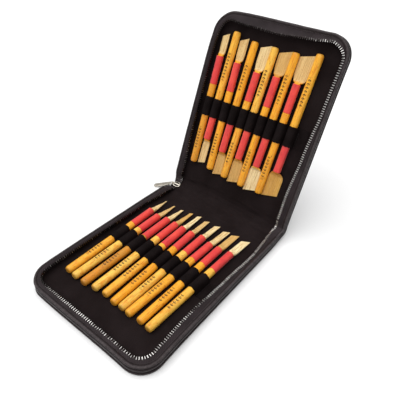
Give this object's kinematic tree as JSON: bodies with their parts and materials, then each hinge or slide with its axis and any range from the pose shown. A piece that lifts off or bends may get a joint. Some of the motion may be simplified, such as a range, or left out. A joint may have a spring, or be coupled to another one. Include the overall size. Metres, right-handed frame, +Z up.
{
  "type": "calligraphy pen case",
  "caption": "Zip-round folding case, open like a book, with reed calligraphy pens in coral grips held under an elastic band in each half.",
  "frame": {"origin": "centre of the lower half's underside, which rests on the table", "axes": "X along the spine, +Y from the lower half's free edge towards the spine, +Z up"},
  "size_m": [0.2008, 0.3436, 0.2336],
  "materials": {
    "leather": "fine-grained black leatherette with a soft sheen",
    "board": "grey-brown stiffener board",
    "lining": "black woven lining",
    "zip": "black herringbone zip tape with pale metal teeth",
    "elastic": "black ribbed elastic webbing",
    "metal": "nickel-plated zip metal",
    "bamboo": "golden lacquered bamboo, pale where the nib is cut",
    "grip": "coral-red shrunk sleeve with a satin surface"
  },
  "bodies": {
    "lower_half": {"lower_cover": "leather", "lower_board": "board", "lower_lining": "lining", "lower_piping": "leather", "lower_gusset": "leather", "lower_zip_chain": "zip", "lower_elastic_band": "elastic"},
    "spine": {"spine_cover": "leather", "spine_lining": "lining", "zip_end_gusset_left": "zip", "zip_end_gusset_right": "zip"},
    "upper_half": {"upper_cover": "leather", "upper_board": "board", "upper_lining": "lining", "upper_piping": "leather", "upper_gusset": "leather", "upper_zip_chain": "zip", "upper_elastic_band": "elastic"},
    "zip_slider": {"zip_slider": "metal"},
    "zip_pull_tab": {"zip_pull_tab": "metal"},
    "lower_pen_01": {"lower_pen_01": "bamboo", "lower_grip_01": "grip"},
    "lower_pen_02": {"lower_pen_02": "bamboo", "lower_grip_02": "grip"},
    "lower_pen_03": {"lower_pen_03": "bamboo", "lower_grip_03": "grip"},
    "lower_pen_04": {"lower_pen_04": "bamboo", "lower_grip_04": "grip"},
    "lower_pen_05": {"lower_pen_05": "bamboo", "lower_grip_05": "grip"},
    "lower_pen_06": {"lower_pen_06": "bamboo", "lower_grip_06": "grip"},
    "lower_pen_07": {"lower_pen_07": "bamboo", "lower_grip_07": "grip"},
    "lower_pen_08": {"lower_pen_08": "bamboo", "lower_grip_08": "grip"},
    "lower_pen_09": {"lower_pen_09": "bamboo", "lower_grip_09": "grip"},
    "lower_pen_10": {"lower_pen_10": "bamboo", "lower_grip_10": "grip"},
    "upper_pen_01": {"upper_pen_01": "bamboo", "upper_grip_01": "grip"},
    "upper_pen_02": {"upper_pen_02": "bamboo", "upper_grip_02": "grip"},
    "upper_pen_03": {"upper_pen_03": "bamboo", "upper_grip_03": "grip"},
    "upper_pen_04": {"upper_pen_04": "bamboo", "upper_grip_04": "grip"},
    "upper_pen_05": {"upper_pen_05": "bamboo", "upper_grip_05": "grip"},
    "upper_pen_06": {"upper_pen_06": "bamboo", "upper_grip_06": "grip"},
    "upper_pen_07": {"upper_pen_07": "bamboo", "upper_grip_07": "grip"},
    "upper_pen_08": {"upper_pen_08": "bamboo", "upper_grip_08": "grip"},
    "upper_pen_09": {"upper_pen_09": "bamboo", "upper_grip_09": "grip"},
    "upper_pen_10": {"upper_pen_10": "bamboo", "upper_grip_10": "grip"}
  },
  "joints": [
    {"name": "spine_fold", "type": "hinge", "parent": "lower_half", "child": "spine", "pos_m": [0, 0.11775, 0.0006], "axis": [1, 0, 0], "range_deg": [-19.6, 70.4]},
    {"name": "cover_fold", "type": "hinge", "parent": "spine", "child": "upper_half", "pos_m": [0, 0.14319, 0.00966], "axis": [1, 0, 0], "range_deg": [-49.7, 40.3]},
    {"name": "slider_run", "type": "slide", "parent": "spine", "child": "zip_slider", "axis": [-1, 0, 0], "range_m": [0, 0.008]},
    {"name": "pull_tab_swing", "type": "hinge", "parent": "zip_slider", "child": "zip_pull_tab", "pos_m": [-0.0864, 0.12573, 0.00949], "axis": [-0.4848, 0.8746, 0], "range_deg": [0, 110]},
    {"name": "lower_pen_01_slide", "type": "slide", "parent": "lower_half", "child": "lower_pen_01", "axis": [-0.0175, 0.9998, 0], "range_m": [-0.02, 0.0175]},
    {"name": "lower_pen_02_slide", "type": "slide", "parent": "lower_half", "child": "lower_pen_02", "axis": [0, 1, 0], "range_m": [-0.02, 0.0175]},
    {"name": "lower_pen_03_slide", "type": "slide", "parent": "lower_half", "child": "lower_pen_03", "axis": [-0.0052, 1, 0], "range_m": [-0.02, 0.0175]},
    {"name": "lower_pen_04_slide", "type": "slide", "parent": "lower_half", "child": "lower_pen_04", "axis": [-0.0122, 0.9999, 0], "range_m": [-0.02, 0.0175]},
    {"name": "lower_pen_05_slide", "type": "slide", "parent": "lower_half", "child": "lower_pen_05", "axis": [-0.0297, 0.9996, 0], "range_m": [-0.02, 0.0175]},
    {"name": "lower_pen_06_slide", "type": "slide", "parent": "lower_half", "child": "lower_pen_06", "axis": [-0.0349, 0.9994, 0], "range_m": [-0.02, 0.0175]},
    {"name": "lower_pen_07_slide", "type": "slide", "parent": "lower_half", "child": "lower_pen_07", "axis": [-0.0061, 1, 0], "range_m": [-0.02, 0.0175]},
    {"name": "lower_pen_08_slide", "type": "slide", "parent": "lower_half", "child": "lower_pen_08", "axis": [0.0209, 0.9998, 0], "range_m": [-0.02, 0.0175]},
    {"name": "lower_pen_09_slide", "type": "slide", "parent": "lower_half", "child": "lower_pen_09", "axis": [0.0017, 1, 0], "range_m": [-0.02, 0.0175]},
    {"name": "lower_pen_10_slide", "type": "slide", "parent": "lower_half", "child": "lower_pen_10", "axis": [0.0227, 0.9997, 0], "range_m": [-0.02, 0.0175]},
    {"name": "upper_pen_01_slide", "type": "slide", "parent": "upper_half", "child": "upper_pen_01", "axis": [-0.0209, 0.3534, 0.9352], "range_m": [-0.012, 0.01]},
    {"name": "upper_pen_02_slide", "type": "slide", "parent": "upper_half", "child": "upper_pen_02", "axis": [0.0087, 0.3535, 0.9354], "range_m": [-0.012, 0.01]},
    {"name": "upper_pen_03_slide", "type": "slide", "parent": "upper_half", "child": "upper_pen_03", "axis": [-0.0262, 0.3534, 0.9351], "range_m": [-0.012, 0.01]},
    {"name": "upper_pen_04_slide", "type": "slide", "parent": "upper_half", "child": "upper_pen_04", "axis": [0.007, 0.3535, 0.9354], "range_m": [-0.012, 0.01]},
    {"name": "upper_pen_05_slide", "type": "slide", "parent": "upper_half", "child": "upper_pen_05", "axis": [0.0175, 0.3534, 0.9353], "range_m": [-0.012, 0.01]},
    {"name": "upper_pen_06_slide", "type": "slide", "parent": "upper_half", "child": "upper_pen_06", "axis": [0.0209, 0.3534, 0.9352], "range_m": [-0.012, 0.01]},
    {"name": "upper_pen_07_slide", "type": "slide", "parent": "upper_half", "child": "upper_pen_07", "axis": [0.0175, 0.3534, 0.9353], "range_m": [-0.012, 0.01]},
    {"name": "upper_pen_08_slide", "type": "slide", "parent": "upper_half", "child": "upper_pen_08", "axis": [0.0227, 0.3534, 0.9352], "range_m": [-0.012, 0.01]},
    {"name": "upper_pen_09_slide", "type": "slide", "parent": "upper_half", "child": "upper_pen_09", "axis": [0.0192, 0.3534, 0.9353], "range_m": [-0.012, 0.01]},
    {"name": "upper_pen_10_slide", "type": "slide", "parent": "upper_half", "child": "upper_pen_10", "axis": [0.0227, 0.3534, 0.9352], "range_m": [-0.012, 0.01]}
  ]
}
